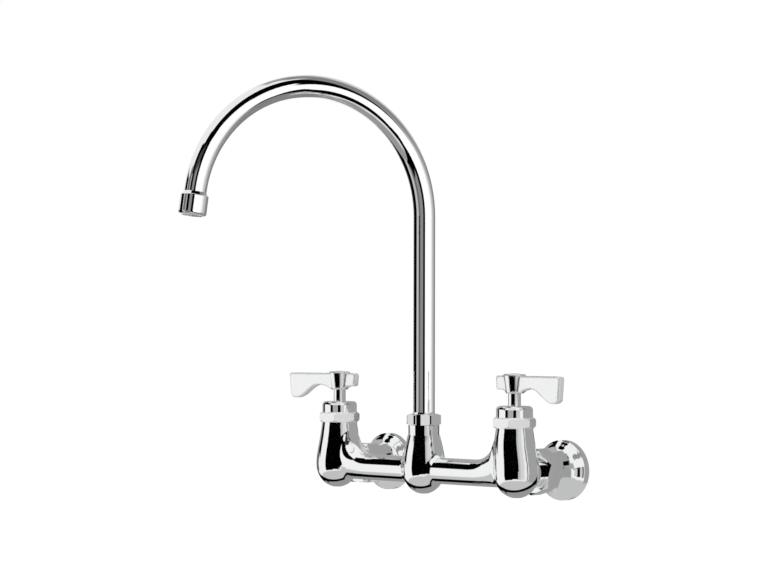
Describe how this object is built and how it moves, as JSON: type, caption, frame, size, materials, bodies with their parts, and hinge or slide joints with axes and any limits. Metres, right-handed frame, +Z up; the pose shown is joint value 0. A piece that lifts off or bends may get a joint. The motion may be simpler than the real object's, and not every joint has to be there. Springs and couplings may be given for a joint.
{
  "type": "commercial wall faucet",
  "caption": "Chrome wall-mount faucet: cast bridge body, lever handles on quarter-turn valves, tall swinging gooseneck spout with aerator, wall flanges.",
  "frame": {"origin": "on the wall face, half way between the two inlets, at the height of their axes", "axes": "+X right as seen from the front, +Y into the wall, +Z up"},
  "size_m": [0.3142, 0.2846, 0.362],
  "materials": {
    "cast_chrome": "polished chrome plate on cast brass",
    "turned_chrome": "polished chrome plate on turned brass",
    "satin_chrome_nut": "chrome plate, lightly brushed flats",
    "tube_chrome": "polished chrome plate on brass tube",
    "stem_chrome": "polished chrome plate on brass",
    "lever_chrome": "polished chrome plate on cast metal",
    "yellow_brass": "machined",
    "spring_steel": "plain stainless",
    "black_rubber": "matt",
    "white_ceramic": "lapped",
    "white_plastic": "acetal",
    "grey_plastic": "moulded",
    "hot_index": "plain red",
    "cold_index": "plain blue"
  },
  "bodies": {
    "faucet_body": {"body_casting": "cast_chrome", "cold_bonnet_cap": "turned_chrome", "cold_bonnet_nut": "satin_chrome_nut", "cold_cartridge_housing": "yellow_brass", "cold_cartridge_seal": "black_rubber", "cold_coupling_nut": "turned_chrome", "cold_fixed_disc": "white_ceramic", "cold_inlet_flange": "turned_chrome", "cold_inlet_washer": "black_rubber", "cold_retaining_ring": "spring_steel", "cold_seat_gasket": "black_rubber", "hot_bonnet_cap": "turned_chrome", "hot_bonnet_nut": "satin_chrome_nut", "hot_cartridge_housing": "yellow_brass", "hot_cartridge_seal": "black_rubber", "hot_coupling_nut": "turned_chrome", "hot_fixed_disc": "white_ceramic", "hot_inlet_flange": "turned_chrome", "hot_inlet_washer": "black_rubber", "hot_retaining_ring": "spring_steel", "hot_seat_gasket": "black_rubber", "lower_spout_seal": "black_rubber", "spout_glide_washer": "white_plastic", "spout_nut": "turned_chrome", "swivel_adapter": "turned_chrome", "upper_spout_seal": "black_rubber"},
    "spout": {"gooseneck_tube": "tube_chrome", "tube_ferrule": "yellow_brass", "outlet_nose": "turned_chrome", "aerator_housing": "turned_chrome", "aerator_washer": "black_rubber", "aerator_insert": "grey_plastic"},
    "hot_handle": {"hot_moving_disc": "white_ceramic", "hot_drive_glide_ring": "white_plastic", "hot_valve_stem": "stem_chrome", "hot_stem_seal": "black_rubber", "hot_lever_handle": "lever_chrome", "hot_handle_screw": "spring_steel", "hot_index_button": "hot_index"},
    "cold_handle": {"cold_moving_disc": "white_ceramic", "cold_drive_glide_ring": "white_plastic", "cold_valve_stem": "stem_chrome", "cold_stem_seal": "black_rubber", "cold_lever_handle": "lever_chrome", "cold_handle_screw": "spring_steel", "cold_index_button": "cold_index"}
  },
  "joints": [
    {"name": "spout_swivel", "type": "hinge", "parent": "faucet_body", "child": "spout", "pos_m": [0, -0.069, 0.0412], "axis": [0, 0, 1], "continuous": true},
    {"name": "hot_handle_turn", "type": "hinge", "parent": "faucet_body", "child": "hot_handle", "pos_m": [-0.1016, -0.069, 0.06], "axis": [0, 0, 1], "range_deg": [0, 90]},
    {"name": "cold_handle_turn", "type": "hinge", "parent": "faucet_body", "child": "cold_handle", "pos_m": [0.1016, -0.069, 0.06], "axis": [0, 0, 1], "range_deg": [-90, 0]}
  ]
}
